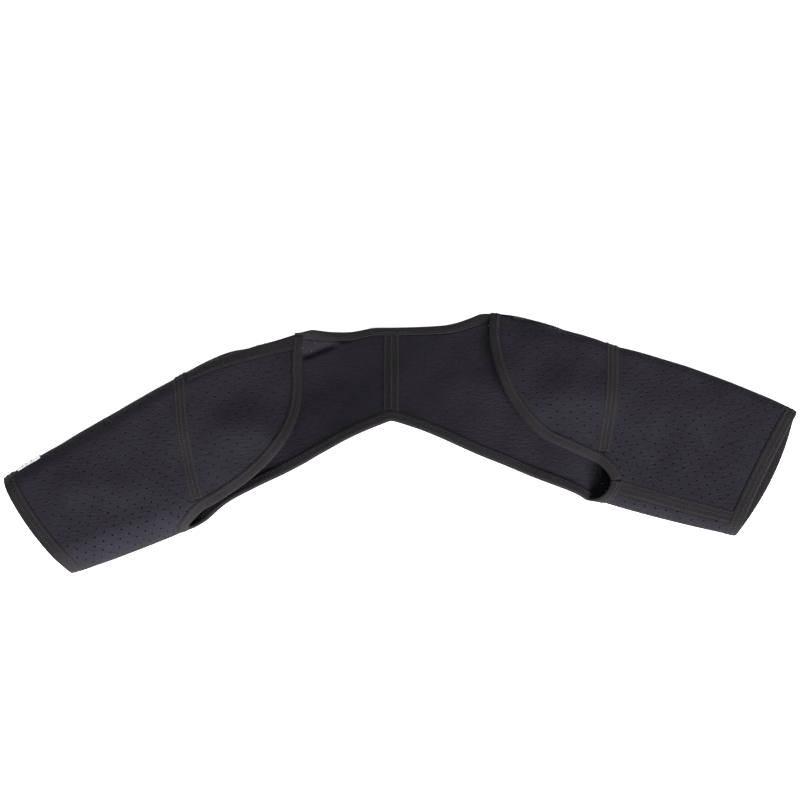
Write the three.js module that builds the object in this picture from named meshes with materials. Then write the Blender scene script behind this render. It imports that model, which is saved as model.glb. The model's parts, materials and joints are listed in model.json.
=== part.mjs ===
// A double shoulder brace of perforated neoprene, lying on its back with its front up.
// Millimetres, +Z up, the viewer is on the -Y side. "Left" and "right" are the viewer's.
import * as THREE from 'three';

// Named sizes.
const REACH = 415; // plan length from the centre back seam to a cuff; tables give shares of it
const WALL = 3; // neoprene
const TRIM = 1; // tape and binding stock
const GAP = 0.3; // left between neighbouring pieces
const SEAM_TAPE = 14.5; // width of the flat tape over a seam
const CENTRE_TAPE = 17.5; // width of the tape on the centre back seam
const EDGE_BINDING = 9.5; // how far a binding covers an edge
const CUFF_BINDING = 12;
const TAG = { along: [0.085, 0.208], round: [-0.03, 0.058], thick: 0.8 }; // on the left sleeve

// How each half lies. Plan places are shares of REACH, heights are millimetres.
// sleeve: the tube's section at the cuff, half-way and at the armhole; far and near are its two
//   folds, tall is its height and bow how far its top and underside stand out towards the cuff.
// front, hem, neck: points along each edge of the neoprene, where its binding starts.
// seams: places round the tube, 0 at the far fold and 0.5 at the near fold, over the top.
const SIDES = {
  left: {
    turn: -1, arm: [-0.86, -0.51],
    sleeve: [
      { far: [-0.969, -0.220], near: [-0.797, -0.446], tall: 46, bow: [7, -6] },
      { far: [-0.758, -0.085], near: [-0.636, -0.386], tall: 46, bow: [2, 0] },
      { far: [-0.546, 0.042], near: [-0.476, -0.318], tall: 43, bow: [6, 5] },
    ],
    crown: 4,
    seams: { shoulder: 0.05, front: 0.422, hem: 0.565, underarm: 0.526, joint: 0.5 },
    notch: 0.19, rise: 2,
    neckPoint: [-0.268, 0.155, 17], shoulderTape: [2, 1],
    front: [
      [-0.270, 0.079, 26], [-0.267, 0.004, 34], [-0.276, -0.070, 41.1],
      [-0.307, -0.140, 48.3], [-0.362, -0.200, 49.5], [-0.428, -0.248, 45.5],
    ],
    hem: [
      [-0.434, -0.256, 15], [-0.351, -0.217, 27], [-0.271, -0.180, 34.5],
      [-0.192, -0.137, 39.4], [-0.112, -0.096, 43],
    ],
    neck: [[-0.199, 0.152, 9], [-0.155, 0.152, 7], [-0.112, 0.156, 6], [-0.069, 0.166, 6]],
    neckShare: 0.53,
  },
  right: {
    turn: 1, arm: [0.95, -0.31],
    sleeve: [
      { far: [0.992, -0.042], near: [0.826, -0.350], tall: 20, bow: [-3, 9] },
      { far: [0.768, 0.059], near: [0.636, -0.304], tall: 21, bow: [4, 6] },
      { far: [0.534, 0.131], near: [0.470, -0.256], tall: 20, bow: [6, 6] },
    ],
    crown: 4,
    seams: { shoulder: -0.03, front: 0.358, hem: 0.53, underarm: 0.437, joint: 0.35 },
    notch: 0.17, rise: 9,
    neckPoint: [0.252, 0.210, 16], shoulderTape: [1, 2],
    front: [
      [0.248, 0.148, 24.5], [0.257, 0.081, 31.5], [0.277, 0.015, 34.3],
      [0.312, -0.046, 36.2], [0.360, -0.097, 34.9], [0.423, -0.127, 31.9],
    ],
    hem: [
      [0.435, -0.228, 15], [0.343, -0.197, 24], [0.256, -0.163, 32],
      [0.166, -0.129, 38], [0.077, -0.092, 43],
    ],
    neck: [[0.183, 0.188, 8], [0.133, 0.174, 6.5], [0.082, 0.170, 6], [0.030, 0.168, 6]],
    neckShare: 0.53,
  },
};
const CENTRE = { top: [-0.022, 0.167, 6], bottom: [-0.022, -0.059, 45] };

// Where the mesh lines run, as shares from the shoulder seam down a panel.
const DOWN_FRONT = [0, 0.026, 0.08, 0.14, 0.2, 0.28, 0.37, 0.47, 0.57, 0.67, 0.76, 0.84, 0.91,
  0.96, 1];
const DOWN_BACK = [0, 0.026, 0.078, 0.12, 0.16, 0.2, 0.25, 0.3, 0.36, 0.44, 0.53, 0.63, 0.73,
  0.83, 0.92, 1];
const NOTCH_STEPS = 16;
const POINT = 0.985; // the front panel's lower point reaches past its seam as this is short of it
const ALONG_SLEEVE = [0, 0.14, 0.3, 0.46, 0.62, 0.77, 0.9]; // between its binding and its tape
const ACROSS_FRONT = [0.24, 0.42, 0.6, 0.76, 0.89]; // between the seam tape and the free edge
const NECK_STEPS = [0.03, 0.07, 0.12, 0.18, 0.26, 0.36, 0.5, 0.65, 0.8, 0.94];

const vec = (a) => new THREE.Vector3(a[0] * REACH, a[1] * REACH, a[2]);
const mix = (a, b, t) => a + (b - a) * t;
const ease = (t) => { const c = Math.min(1, Math.max(0, t)); return c * c * (3 - 2 * c); };
const lerp = (a, b, t) => new THREE.Vector3().lerpVectors(a, b, t);

// A smooth curve through points, t from 0 to 1.
function curve(points, t) {
  const n = points.length - 1;
  const k = Math.min(n - 1, Math.max(0, Math.floor(t * n)));
  const f = t * n - k;
  const at = (i) => (i < 0 ? points[0].clone().multiplyScalar(2).sub(points[1])
    : i > n ? points[n].clone().multiplyScalar(2).sub(points[n - 1]) : points[i]);
  const [a, b, c, d] = [at(k - 1), at(k), at(k + 1), at(k + 2)];
  const out = new THREE.Vector3();
  for (const x of ['x', 'y', 'z']) {
    out[x] = 0.5 * (2 * b[x] + (c[x] - a[x]) * f + (2 * a[x] - 5 * b[x] + 4 * c[x] - d[x]) * f * f
      + (3 * b[x] - a[x] - 3 * c[x] + d[x]) * f * f * f);
  }
  return out;
}

// A flat tube's section: share of the way across and height, at share p of the way round.
function section(p, wide, tall) {
  const straight = wide - tall;
  const round = Math.PI * tall / 2;
  const s = (p - Math.floor(p)) * 2 * (straight + round);
  const r = tall / 2;
  const arc = (a) => [r - r * Math.cos(a), r + r * Math.sin(a)];
  if (s < round / 2) return arc(s / r);
  if (s < round / 2 + straight) return [r + s - round / 2, tall];
  if (s < 1.5 * round + straight) {
    const a = (s - round / 2 - straight) / r;
    return [r + straight + r * Math.sin(a), r + r * Math.cos(a)];
  }
  if (s < 1.5 * round + 2 * straight) return [r + straight - (s - 1.5 * round - straight), 0];
  return arc((s - 1.5 * round - 2 * straight) / r - Math.PI / 2);
}

// The sleeve's middle surface: u from the cuff's rim to the armhole, p round the tube. It lies
// flat on the floor half-way; its ends are lifted by what the binding and the tape add.
function sleeve(side, u, p) {
  const w = [(1 - u) * (1 - 2 * u), 4 * u * (1 - u), u * (2 * u - 1)];
  const sum = (f) => side.sleeve.reduce((t, row, i) => t + w[i] * f(row), 0);
  const far = [sum((r) => r.far[0]) * REACH, sum((r) => r.far[1]) * REACH];
  const near = [sum((r) => r.near[0]) * REACH, sum((r) => r.near[1]) * REACH];
  const tall = sum((r) => r.tall);
  const wide = Math.hypot(near[0] - far[0], near[1] - far[1]);
  const [x, z] = section(p, wide, tall);
  const a = x / wide;
  const arch = 4 * a * (1 - a);
  const top = Math.max(0, z / tall * 2 - 1);
  const under = Math.max(0, 1 - z / tall * 2);
  const bow = arch * (top * sum((r) => r.bow[0]) + under * sum((r) => r.bow[1]));
  const foot = (TRIM + GAP) * ease((Math.abs(2 * u - 1) - 0.3) / 0.5);
  return new THREE.Vector3(
    mix(far[0], near[0], a) + bow * side.arm[0], mix(far[1], near[1], a) + bow * side.arm[1],
    WALL / 2 + foot + z + side.crown * arch * top * top);
}

// Where the tube ends: at the armhole seam, or further out in the notch under the arm.
function tubeEnd(side, p) {
  const { front, hem } = side.seams;
  const q = p - Math.floor(p);
  if (q <= front || q >= hem) return 1;
  const t = 2 * (q - front) / (hem - front) - 1;
  return 1 - side.notch * (1 - Math.abs(t) ** 2.6);
}

// The front panel: r from the armhole seam to the front edge, q from the shoulder downwards.
const frontPlace = (side, q) => mix(side.seams.shoulder, side.seams.front, q);
function frontEdge(side, q) {
  const low = side.seams.front;
  const end = sleeve(side, 1, low).multiplyScalar(2).sub(sleeve(side, POINT, low));
  return curve([vec(side.neckPoint), ...side.front.map(vec), end], q);
}
function front(side, r, q) {
  const p = frontPlace(side, q);
  const from = sleeve(side, 1, p);
  const to = frontEdge(side, q);
  const span = to.distanceTo(from);
  const out = from.clone().sub(sleeve(side, 0.97, p)).setLength(span);
  const inward = to.clone().sub(from);
  const [r2, r3] = [r * r, r * r * r];
  const place = from.multiplyScalar(2 * r3 - 3 * r2 + 1).addScaledVector(out, r3 - 2 * r2 + r)
    .addScaledVector(to, 3 * r2 - 2 * r3).addScaledVector(inward, r3 - r2);
  place.y += side.rise * 4 * (r - r2) * (1 - q) ** 3;
  return place;
}

// The back panel: r from the armhole seam to the centre back seam, q from the top downwards.
const backPlace = (side, q) => mix(side.seams.shoulder, side.seams.hem - 1, q);
function backTop(side, r) {
  if (r <= side.neckShare) return front(side, r / side.neckShare, 0);
  const t = (r - side.neckShare) / (1 - side.neckShare);
  return curve([vec(side.neckPoint), ...side.neck.map(vec), vec(CENTRE.top)], t);
}
function backHem(side, r) {
  return curve([sleeve(side, 1, side.seams.hem), ...side.hem.map(vec), vec(CENTRE.bottom)], r);
}
function backFlat(side, r, q) {
  const top = backTop(side, r);
  const drop = Math.max(0, top.z - 6);
  const place = lerp(top, backHem(side, r), q);
  place.z -= drop * (1 - q - Math.max(0, 1 - q / 0.17) ** 2);
  return place;
}
function back(side, r, q) {
  const fold = 1 - ease((r / side.neckShare - 0.35) / 0.75);
  const wrap = sleeve(side, 1, backPlace(side, q)).sub(backFlat(side, 0, q));
  return backFlat(side, r, q).addScaledVector(wrap, fold);
}

// Gives two nodes that meet at a seam one outward direction.
function share(a, b) {
  a.out = a.out.clone().add(b.out).normalize();
  b.out = a.out;
}

// A grid of points on a surface with its outward directions, from lists of places.
function grid(surface, rows, columns, turn) {
  const e = 1e-3;
  return rows.map((row, i) => columns.map((column, j) => {
    const [a, b] = [row(j), column(i)];
    const along = surface(a + e, b).sub(surface(a - e, b));
    const round = surface(a, b + e).sub(surface(a, b - e));
    return { at: surface(a, b), out: along.cross(round).normalize().multiplyScalar(turn) };
  }));
}

// A closed shell between two offsets of a grid; closed joins its last column to its first.
function shell(nodes, low, high, closed = false) {
  const [m, n] = [nodes.length, nodes[0].length];
  const points = [];
  for (const offset of [low, high]) {
    for (const row of nodes) {
      for (const { at, out } of row) points.push(at.clone().addScaledVector(out, offset));
    }
  }
  const id = (k, i, j) => k * m * n + i * n + (j % n);
  const faces = [];
  const quad = (a, b, c, d) => faces.push([a, b, c], [a, c, d]);
  const last = closed ? n : n - 1;
  for (let i = 0; i < m - 1; i++) {
    for (let j = 0; j < last; j++) {
      const ring = [[i, j], [i + 1, j], [i + 1, j + 1], [i, j + 1]];
      const corners = ring.map(([a, b]) => nodes[a][b % n]);
      const rise = corners.map(({ at }) => at.dot(corners[0].out));
      const turned = rise[1] + rise[3] > rise[0] + rise[2];
      if (turned) ring.push(ring.shift());
      const [a, b, c, d] = ring;
      quad(id(1, ...a), id(1, ...b), id(1, ...c), id(1, ...d));
      quad(id(0, ...a), id(0, ...d), id(0, ...c), id(0, ...b));
    }
  }
  for (let j = 0; j < last; j++) {
    quad(id(0, 0, j), id(1, 0, j), id(1, 0, j + 1), id(0, 0, j + 1));
    quad(id(0, m - 1, j + 1), id(1, m - 1, j + 1), id(1, m - 1, j), id(0, m - 1, j));
  }
  for (let i = 0; i < m - 1 && !closed; i++) {
    quad(id(0, i + 1, 0), id(1, i + 1, 0), id(1, i, 0), id(0, i, 0));
    quad(id(0, i, n - 1), id(1, i, n - 1), id(1, i + 1, n - 1), id(0, i + 1, n - 1));
  }
  return { points, faces };
}

// A binding: a strip with a rounded outer edge, swept along an edge and outwards from it.
// path: nodes with at, out and away, the direction in the surface away from the panel.
function band(path, width, closed = false) {
  const half = WALL / 2 + GAP + TRIM;
  const outline = [[1.4 * GAP, -half], [1.4 * GAP, half], [width - 1.2, half],
    [width + GAP, half - 1.6], [width + GAP, 1.6 - half], [width - 1.2, -half]];
  const n = outline.length;
  const points = path.flatMap(({ at, out, away }) => outline.map(([x, z]) => at.clone()
    .addScaledVector(away, x).addScaledVector(out, z)));
  const faces = [];
  const count = closed ? path.length : path.length - 1;
  for (let i = 0; i < count; i++) {
    for (let k = 0; k < n; k++) {
      const [a, b] = [i * n + k, i * n + (k + 1) % n];
      const [c, d] = [((i + 1) % path.length) * n + (k + 1) % n, ((i + 1) % path.length) * n + k];
      faces.push([a, b, c], [a, c, d]);
    }
  }
  const end = (path.length - 1) * n;
  for (let k = 1; k < n - 1 && !closed; k++) {
    faces.push([0, k + 1, k], [end, end + k, end + k + 1]);
  }
  return { points, faces };
}

// Gives every node of an edge path its direction away from the panel, in the surface, evened
// out along the path; nodes closer than a wall's thickness are thinned out. The panel is on the
// left of the path (1) or on its right (-1), seen from its outer side.
function awayFrom(nodes, hand) {
  const path = [];
  for (const node of nodes) {
    if (!path.length || path[path.length - 1].at.distanceTo(node.at) > WALL) path.push(node);
  }
  const step = (k) => (path[k] && path[k + 1]
    ? path[k + 1].at.clone().sub(path[k].at).normalize() : new THREE.Vector3());
  let aways = path.map(({ out }, i) => step(i - 1).add(step(i)).cross(out).setLength(hand));
  for (let pass = 0; pass < 3; pass++) {
    aways = aways.map((away, i) => away.clone().multiplyScalar(2).add(aways[i - 1] ?? away)
      .add(aways[i + 1] ?? away).normalize());
  }
  return path.map(({ at, out }, i) => ({ at, out, away: aways[i] }));
}

function mesh(name, { points, faces }, material) {
  let volume = 0;
  for (const [a, b, c] of faces) volume += points[a].dot(points[b].clone().cross(points[c]));
  const index = faces.flatMap((f) => (volume < 0 ? [f[0], f[2], f[1]] : f));
  const geometry = new THREE.BufferGeometry();
  geometry.setAttribute('position',
    new THREE.Float32BufferAttribute(points.flatMap((p) => [p.x, p.y, p.z]), 3));
  geometry.setIndex(index);
  geometry.computeVertexNormals();
  const made = new THREE.Mesh(geometry, new THREE.MeshStandardMaterial(material));
  made.name = name;
  return made;
}

const NEOPRENE = { color: 0x2b2a31, roughness: 0.9 };
const TAPE = { color: 0x2a2826, roughness: 0.75 };
const WOVEN = { color: 0xe4e2de, roughness: 0.8 };
const onTop = [WALL / 2 + GAP, WALL / 2 + GAP + TRIM];
const inside = [-onTop[1], -onTop[0]];

const group = new THREE.Group();
const halves = {};

for (const [name, side] of Object.entries(SIDES)) {
  const { shoulder, front: frontSeam, hem: hemSeam, underarm } = side.seams;
  const length = (p) => sleeve(side, 0, p).distanceTo(sleeve(side, 1, p));
  const across = sleeve(side, 1, frontSeam).distanceTo(vec(side.neckPoint));

  // Places round the tube: up the back panel's side, down the front panel's, through the notch.
  const places = [...DOWN_BACK.map((q) => backPlace(side, q)).reverse(),
    ...DOWN_FRONT.slice(1).map((q) => frontPlace(side, q))];
  const seamCount = places.length;
  const half = SEAM_TAPE / 2 / 330;
  const notch = [];
  for (let k = 1; k < NOTCH_STEPS; k++) {
    notch.push(mix(frontSeam, hemSeam, (1 - Math.cos(Math.PI * k / NOTCH_STEPS)) / 2));
  }
  const tapePlaces = [underarm - half, underarm + half];
  for (const p of tapePlaces) {
    const k = notch.reduce((b, v, i) => (Math.abs(v - p) < Math.abs(notch[b] - p) ? i : b), 0);
    notch[k] = p;
  }
  places.push(...notch);

  // Sleeve: rows from the cuff binding to the end, one of them at the edge of the seam tape.
  const rowAt = (share) => (j) => {
    const p = places[j];
    const end = tubeEnd(side, p);
    const low = (CUFF_BINDING + GAP) / length(p);
    const high = end - (end === 1 ? SEAM_TAPE / 2 / length(p) : 0.02);
    return mix(low, high, share);
  };
  const rows = [...ALONG_SLEEVE.map(rowAt), rowAt(1),
    (j) => tubeEnd(side, places[j]) - (j < seamCount ? 1.5 * GAP / length(places[j]) : 0)];
  const tube = grid((u, p) => sleeve(side, u, p), rows, places.map((p) => () => p), side.turn);
  group.add(mesh(`sleeve_${name}`, shell(tube, -WALL / 2, WALL / 2, true), NEOPRENE));

  const ring = grid((u, p) => sleeve(side, u, p), [() => 0, (j) => CUFF_BINDING / length(places[j])],
    places.map((p) => () => p), side.turn);
  const rim = ring[1].map((node, j) => ({ at: node.at, out: node.out,
    away: ring[0][j].at.clone().sub(node.at).normalize() }));
  group.add(mesh(`cuff_binding_${name}`, band(rim, CUFF_BINDING - GAP, true), TAPE));

  // Front panel.
  const span = (q) => frontEdge(side, q).distanceTo(sleeve(side, 1, frontPlace(side, q)));
  const tapeEdge = (j) => Math.min(0.45, SEAM_TAPE / 2 / span(DOWN_FRONT[j]));
  const acrossFront = (j) => [Math.min(0.12, GAP / 2 / span(DOWN_FRONT[j])), tapeEdge(j),
    ...ACROSS_FRONT.map((r) => Math.min(0.97, Math.max(r, tapeEdge(j) + 0.5 * r))), 1]
    .sort((a, b) => a - b);
  const frontRows = acrossFront(0).map((_, i) => (j) => acrossFront(j)[i]);
  const step = GAP / 2 / across;
  const downFront = DOWN_FRONT.map((q) => () => (q === 0 ? step : q));
  const panel = grid((r, q) => front(side, r, q), frontRows, downFront, side.turn);
  // Where it narrows to its lower point, all its rows face as its seam does.
  const narrow = DOWN_FRONT.map((q) => 1 - ease((span(q) - 25) / 40));

  // Back panel; its first columns match the front panel's rows along the shoulder seam.
  const shoulderRows = frontRows.map((f) => f(0) * side.neckShare);
  const neckRows = NECK_STEPS.map((t) => mix(side.neckShare, 1, t));
  const hemLength = backHem(side, 1).distanceTo(backHem(side, 0));
  const tapeRow = 1 - CENTRE_TAPE / 2 / (hemLength * 1.02);
  const backRows = [...shoulderRows, ...neckRows.filter((r) => r < tapeRow - 0.01), tapeRow,
    1 - GAP / 2 / hemLength];
  const downBack = DOWN_BACK.map((q) => () => (q === 0 ? step : q));
  const rear = grid((r, q) => back(side, r, q), backRows.map((r) => () => r), downBack,
    -side.turn);

  // Pieces that meet at a seam share its outward direction there.
  const lastRow = tube[tube.length - 1];
  DOWN_FRONT.forEach((q, j) => share(lastRow[DOWN_BACK.length - 1 + j], panel[0][j]));
  DOWN_BACK.forEach((q, j) => share(lastRow[DOWN_BACK.length - 1 - j], rear[0][j]));
  frontRows.forEach((f, i) => share(panel[i][0], rear[i][0]));
  panel.slice(1).forEach((row) => row.forEach((node, j) => {
    node.out = lerp(node.out, panel[0][j].out, narrow[j]).normalize();
  }));
  group.add(mesh(`front_panel_${name}`, shell(panel, -WALL / 2, WALL / 2), NEOPRENE));
  halves[name] = { side, places, seamCount, tube, panel, rear, shoulderCount: frontRows.length };
}

const [L, R] = [halves.left, halves.right];
DOWN_BACK.forEach((q, j) => share(L.rear[L.rear.length - 1][j], R.rear[R.rear.length - 1][j]));

for (const [name, h] of Object.entries(halves)) {
  const { tube, panel, rear, seamCount, shoulderCount, places, side } = h;
  group.add(mesh(`back_panel_${name}`, shell(rear, -WALL / 2, WALL / 2), NEOPRENE));

  // Armhole seam tape: across the sleeve's last row and the panels' first two.
  const k = tube.length;
  const strip = [tube[k - 2].slice(0, seamCount), tube[k - 1].slice(0, seamCount)];
  const torso = (i) => [...rear[i].slice(1).reverse(), ...panel[i]];
  group.add(mesh(`armhole_seam_tape_${name}`, shell([...strip, torso(0), torso(1)], ...onTop),
    TAPE));

  // Shoulder seam tape, from the armhole tape to the neck.
  const along = (nodes, i) => nodes.slice(1).map((row) => row[i]);
  const butt = (line) => line.map((node, i) => (i ? node : {
    at: lerp(node.at, line[1].at, 0.8 / node.at.distanceTo(line[1].at)), out: node.out }));
  const [onFront, onBack] = side.shoulderTape;
  const upTo = (nodes, k) => Array.from({ length: k + 1 }, (_, i) => along(nodes, i));
  const lines = [...upTo(rear.slice(0, shoulderCount), onBack).reverse(), ...upTo(panel, onFront)]
    .map(butt);
  group.add(mesh(`shoulder_seam_tape_${name}`, shell(lines, ...onTop), TAPE));

  // Underarm seam tape, along the sleeve from the notch to the cuff.
  const picks = places.map((p, j) => j)
    .filter((j) => j >= seamCount && Math.abs(places[j] - side.seams.underarm) < 0.0225);
  const lengths = picks.map((j) => tube.map((row) => row[j]));
  group.add(mesh(`underarm_seam_tape_${name}`, shell(lengths, ...onTop), TAPE));
}

// Each half's edge from the neck down the front, round the notch and along the hem.
const edges = Object.values(halves).map(({ panel, tube, seamCount, rear, side }) => {
  const line = (nodes, back) => nodes[nodes.length - 1 - back];
  const path = awayFrom([...line(panel, 0).slice(0, -1), ...line(tube, 0).slice(seamCount),
    ...rear.map((row) => line(row, 0))], side.turn);
  const joint = line(tube, 0)[seamCount + Math.round(side.seams.joint * NOTCH_STEPS)].at;
  const cut = path.reduce((best, { at }, i) => (
    at.distanceTo(joint) < path[best].at.distanceTo(joint) ? i : best), 0);
  const nudge = (node, to) => ({ ...node,
    at: lerp(node.at, to.at, GAP / 2 / node.at.distanceTo(to.at)) });
  return {
    front: [...path.slice(1, cut), nudge(path[cut], path[cut - 1])],
    hem: [nudge(path[cut], path[cut + 1]), ...path.slice(cut + 1)],
  };
});
const join = (a, b) => [...a, ...b.slice(0, -1).reverse()];
group.add(mesh('front_edge_binding_left', band(edges[0].front, EDGE_BINDING), TAPE));
group.add(mesh('front_edge_binding_right', band(edges[1].front, EDGE_BINDING), TAPE));
group.add(mesh('hem_binding', band(join(edges[0].hem, edges[1].hem), EDGE_BINDING), TAPE));

// Neck binding: from shoulder seam to shoulder seam along the upper back edge.
const neckHalf = ({ rear, shoulderCount, side }) => awayFrom(
  rear.slice(shoulderCount).map((row) => row[0]), -side.turn);
group.add(mesh('neck_binding', band(join(neckHalf(L), neckHalf(R)), EDGE_BINDING), TAPE));

// Centre back seam tape, on the inner side.
const middle = [L.rear[L.rear.length - 2], L.rear[L.rear.length - 1], R.rear[R.rear.length - 1],
  R.rear[R.rear.length - 2]];
group.add(mesh('centre_back_seam_tape', shell(middle, ...inside), TAPE));

// The woven tag, over the far fold near the left cuff.
const steps = (range, n) => Array.from({ length: n + 1 }, (_, i) => () => mix(...range, i / n));
const tag = grid((u, p) => sleeve(SIDES.left, u, p), steps(TAG.along, 3), steps(TAG.round, 6),
  SIDES.left.turn);
group.add(mesh('label_tag', shell(tag, WALL / 2 + GAP, WALL / 2 + GAP + TAG.thick), WOVEN));

// It stands on z = 0, with the middle of its box over the origin.
const box = new THREE.Box3().setFromObject(group);
const middleOf = box.getCenter(new THREE.Vector3());
for (const { geometry } of group.children) geometry.translate(-middleOf.x, -middleOf.y, -box.min.z);

export default group;
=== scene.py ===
"""A double shoulder brace of perforated neoprene, lying on its back with its front up."""
import json
import bpy
import numpy as np
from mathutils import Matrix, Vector
from mathutils.geometry import delaunay_2d_cdt

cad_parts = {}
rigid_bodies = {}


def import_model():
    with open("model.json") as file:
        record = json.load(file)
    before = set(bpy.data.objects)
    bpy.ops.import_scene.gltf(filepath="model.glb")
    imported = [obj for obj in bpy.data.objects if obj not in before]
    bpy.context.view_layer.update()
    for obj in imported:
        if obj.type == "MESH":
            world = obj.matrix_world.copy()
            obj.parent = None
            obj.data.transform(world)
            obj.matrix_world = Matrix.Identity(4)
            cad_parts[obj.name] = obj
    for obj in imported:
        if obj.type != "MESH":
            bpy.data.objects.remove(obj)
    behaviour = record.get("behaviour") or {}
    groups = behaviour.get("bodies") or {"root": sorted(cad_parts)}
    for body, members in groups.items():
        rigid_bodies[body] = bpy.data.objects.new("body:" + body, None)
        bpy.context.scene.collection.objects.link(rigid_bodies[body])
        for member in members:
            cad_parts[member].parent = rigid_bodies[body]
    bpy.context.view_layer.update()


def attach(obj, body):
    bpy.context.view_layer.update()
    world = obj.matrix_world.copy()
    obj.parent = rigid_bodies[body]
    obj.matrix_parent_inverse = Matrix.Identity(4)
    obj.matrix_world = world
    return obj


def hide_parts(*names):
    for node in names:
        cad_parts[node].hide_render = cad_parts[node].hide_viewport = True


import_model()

# Neoprene sleeves
# A tube of 3 mm laminated neoprene round each upper arm: a foam core with a knitted face on both
# sides, dyed black with a slight violet cast, and punched through all over on a diagonal lattice.
# It is cut flat and closed by one seam under the arm; its ends are bound.
REACH = 415.0  # mm along the garment from the centre back seam to a cuff
WALL = 3.0  # mm of neoprene
CUFF_WIDTH = 12.0  # mm of binding round a sleeve's end
SEAM_GAP = 0.3  # mm from a panel's end to the seam
ORIGIN = np.array([4.76482, -46.41453, 0.0])  # the frame's zero as a place on the table's plan, mm
# The two halves as they lie, the viewer's left one fuller than the right. A sleeve is a flattened
# tube: far and near are its two folds in shares of REACH; tall is its height, bow its bulge along
# arm, above and below, and crown its top's rise, in mm; notch is a share of its length; front,
# hem and underarm are shares of the way round it.
LEFT = dict(
    turn=-1, arm=(-0.86, -0.51), crown=4.0, notch=0.19, front=0.422, hem=0.565, underarm=0.526,
    cuff=dict(far=(-0.969, -0.220), near=(-0.797, -0.446), tall=46, bow=(7, -6)),
    middle=dict(far=(-0.758, -0.085), near=(-0.636, -0.386), tall=46, bow=(2, 0)),
    armhole=dict(far=(-0.546, 0.042), near=(-0.476, -0.318), tall=43, bow=(6, 5)))
RIGHT = dict(
    turn=1, arm=(0.95, -0.31), crown=4.0, notch=0.17, front=0.358, hem=0.53, underarm=0.437,
    cuff=dict(far=(0.992, -0.042), near=(0.826, -0.350), tall=20, bow=(-3, 9)),
    middle=dict(far=(0.768, 0.059), near=(0.636, -0.304), tall=21, bow=(4, 6)),
    armhole=dict(far=(0.534, 0.131), near=(0.470, -0.256), tall=20, bow=(6, 6)))
HALVES = {"left": LEFT, "right": RIGHT}


def mix(a, b, t):
    """a where t is 0 and b where t is 1, in a straight line between them."""
    return a + (b - a) * t


def ease(t):
    """The smooth step: 3 t squared less 2 t cubed, held at 0 and 1."""
    t = np.clip(t, 0, 1)
    return t * t * (3 - 2 * t)


def unit(v):
    """Vectors over their own lengths."""
    return v / (np.linalg.norm(v, axis=-1, keepdims=True) + 1e-12)


def section(p, wide, tall):
    """A flat tube's outline by arc length: two half circles of height tall joined by straight
    lines; gives the distance across and the height at share p of the way round."""
    straight, arc, r = wide - tall, np.pi * tall / 2, tall / 2
    s = (p - np.floor(p)) * 2 * (straight + arc)
    a, b, c, d = arc / 2, arc / 2 + straight, 1.5 * arc + straight, 1.5 * arc + 2 * straight
    near, last = (s - b) / r, (s - d) / r - np.pi / 2
    x = np.select([s < a, s < b, s < c, s < d],
                  [r - r * np.cos(s / r), r + s - a, r + straight + r * np.sin(near),
                   r + straight - (s - c)], r - r * np.cos(last))
    z = np.select([s < a, s < b, s < c, s < d],
                  [r + r * np.sin(s / r), tall + 0 * s, r + r * np.cos(near), 0 * s],
                  r + r * np.sin(last))
    return x, z


def sleeve(side, u, p):
    """The sleeve's middle surface: the flat tube's section at p, between the two folds that a
    parabola through cuff, half-way and armhole gives at u, bowed towards the cuff as 4a(1-a),
    where a is the share of the way from fold to fold."""
    u, p = np.broadcast_arrays(np.asarray(u, float), np.asarray(p, float))
    w = [(1 - u) * (1 - 2 * u), 4 * u * (1 - u), u * (2 * u - 1)]
    rows = [side["cuff"], side["middle"], side["armhole"]]
    far = [sum(w[i] * rows[i]["far"][k] for i in range(3)) * REACH for k in (0, 1)]
    near = [sum(w[i] * rows[i]["near"][k] for i in range(3)) * REACH for k in (0, 1)]
    bows = [sum(w[i] * rows[i]["bow"][k] for i in range(3)) for k in (0, 1)]
    tall = sum(w[i] * rows[i]["tall"] for i in range(3))
    wide = np.hypot(near[0] - far[0], near[1] - far[1])
    x, z = section(p, wide, tall)
    a = x / wide
    arch = 4 * a * (1 - a)
    top, under = np.maximum(0, z / tall * 2 - 1), np.maximum(0, 1 - z / tall * 2)
    bow = arch * (top * bows[0] + under * bows[1])
    # both ends stand on their bindings, 1.3 mm higher than the tube's middle
    foot = 1.3 * ease((np.abs(2 * u - 1) - 0.3) / 0.5)
    return np.stack([mix(far[0], near[0], a) + bow * side["arm"][0],
                     mix(far[1], near[1], a) + bow * side["arm"][1],
                     WALL / 2 + foot + z + side["crown"] * arch * top * top], -1)


def length(v):
    """Vectors' lengths."""
    return np.linalg.norm(v, axis=-1)


def sleeve_length(side, p):
    """The straight way from the sleeve's rim to its armhole at p, in mm."""
    return length(sleeve(side, 0.0, p) - sleeve(side, 1.0, p))


def tube_end(side, p):
    """Where the sleeve ends: at the armhole, u = 1, or further out in the notch under the arm,
    whose depth falls off as the 2.6th power of the way from its middle to its sides."""
    q = p - np.floor(p)
    t = np.clip(2 * (q - side["front"]) / (side["hem"] - side["front"]) - 1, -1, 1)
    return 1 - side["notch"] * (1 - np.abs(t) ** 2.6)


def slopes(surface, a, b, e=1e-3):
    """A surface's two slopes at a, b, from points a small step to either side."""
    return ((surface(a + e, b) - surface(a - e, b)) / (2 * e),
            (surface(a, b + e) - surface(a, b - e)) / (2 * e))


def facing(surface, turn):
    """The outward direction of a surface as a function: the cross product of its slopes."""
    return lambda a, b: turn * unit(np.cross(*slopes(surface, a, b)))


def sleeve_out(side, u, p):
    """The sleeve's outward direction at u, p."""
    return facing(lambda a, b: sleeve(side, a, b), side["turn"])(u, p)


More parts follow.
